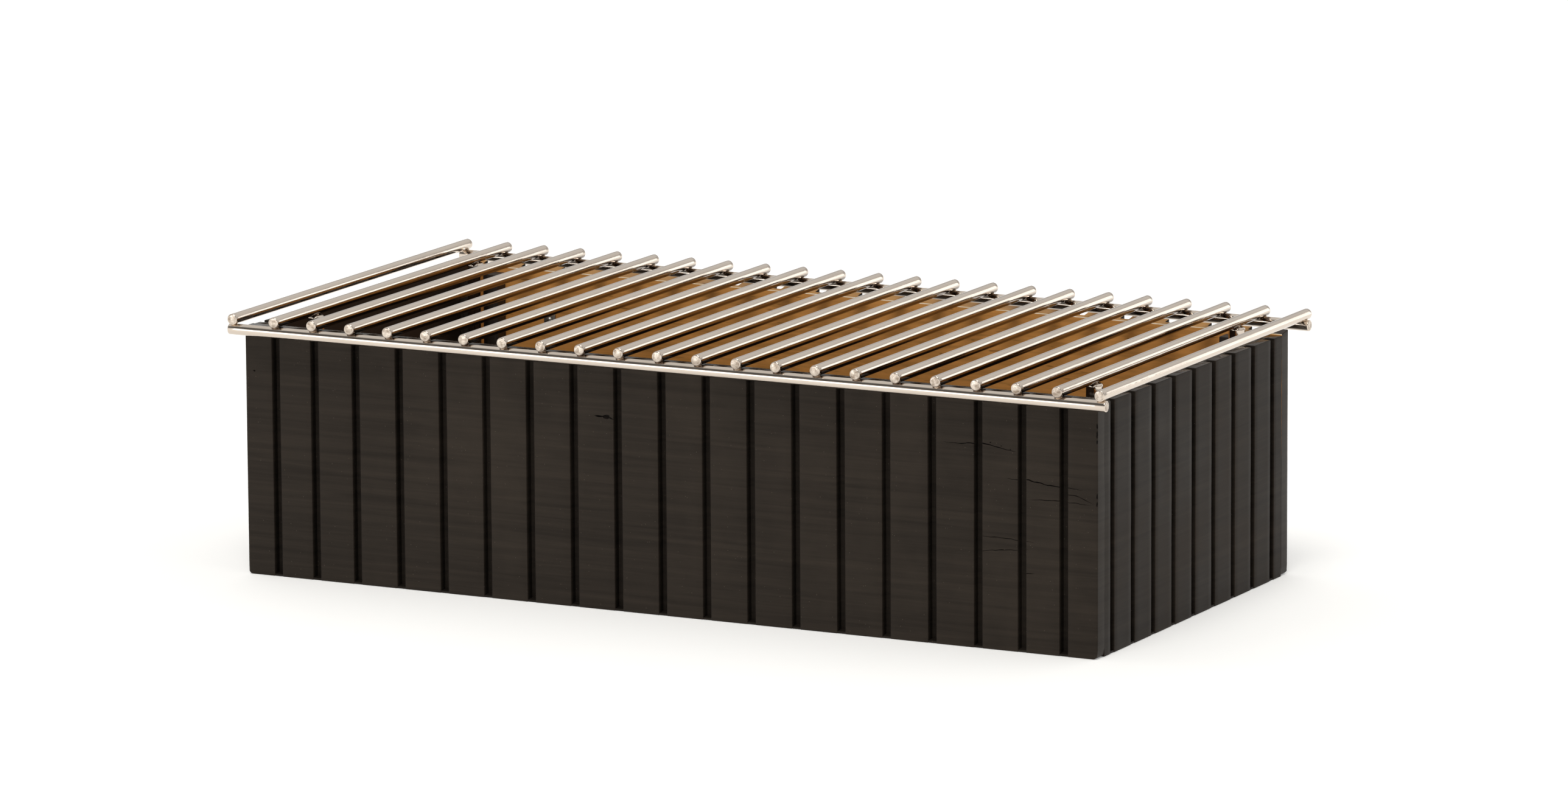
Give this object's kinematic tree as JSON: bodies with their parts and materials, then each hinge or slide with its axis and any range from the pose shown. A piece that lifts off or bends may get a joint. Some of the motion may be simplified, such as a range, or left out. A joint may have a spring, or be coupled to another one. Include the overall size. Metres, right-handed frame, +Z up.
{
  "type": "grooved wooden box with lift-off rod rack",
  "caption": "Low open-topped dark wooden box with vertical grooves, carrying a chrome rod rack on tube legs that lifts straight off for storage inside.",
  "frame": {"origin": "centre of the box's underside, on the surface it stands on", "axes": "+X along the box's length, -Y the front, +Z up"},
  "size_m": [1.0898, 0.5504, 0.302],
  "materials": {
    "ebonised_plywood": "satin brown-black stain and lacquer outside, honey-tan bare plywood on the inner face",
    "tan_plywood": "bare honey-tan plywood",
    "stained_block": "dark stained solid wood",
    "chrome": "polished nickel-chrome plating with slight ripple",
    "plated_steel": "dull plated steel",
    "rubber": "matt black moulded rubber"
  },
  "bodies": {
    "box": {"front_panel": "ebonised_plywood", "back_panel": "ebonised_plywood", "left_end_panel": "ebonised_plywood", "right_end_panel": "ebonised_plywood", "floor_panel": "tan_plywood", "corner_block_back_left": "stained_block", "corner_block_back_right": "stained_block", "corner_block_front_left": "stained_block", "corner_block_front_right": "stained_block", "wall_plate": "plated_steel", "wall_plate_screw": "plated_steel"},
    "rack": {"front_rail": "chrome", "back_rail": "chrome", "rod_01": "chrome", "rod_02": "chrome", "rod_03": "chrome", "rod_04": "chrome", "rod_05": "chrome", "rod_06": "chrome", "rod_07": "chrome", "rod_08": "chrome", "rod_09": "chrome", "rod_10": "chrome", "rod_11": "chrome", "rod_12": "chrome", "rod_13": "chrome", "rod_14": "chrome", "rod_15": "chrome", "rod_16": "chrome", "rod_17": "chrome", "rod_18": "chrome", "rod_19": "chrome", "rod_20": "chrome", "rod_21": "chrome", "rod_22": "chrome", "rod_23": "chrome", "leg_back_left": "chrome", "leg_back_right": "chrome", "leg_front_left": "chrome", "leg_front_right": "chrome", "foot_back_left": "rubber", "foot_back_right": "rubber", "foot_front_left": "rubber", "foot_front_right": "rubber"}
  },
  "joints": [
    {"name": "rack_lift", "type": "slide", "parent": "box", "child": "rack", "axis": [0, 0, 1], "range_m": [0, 0.3]}
  ]
}
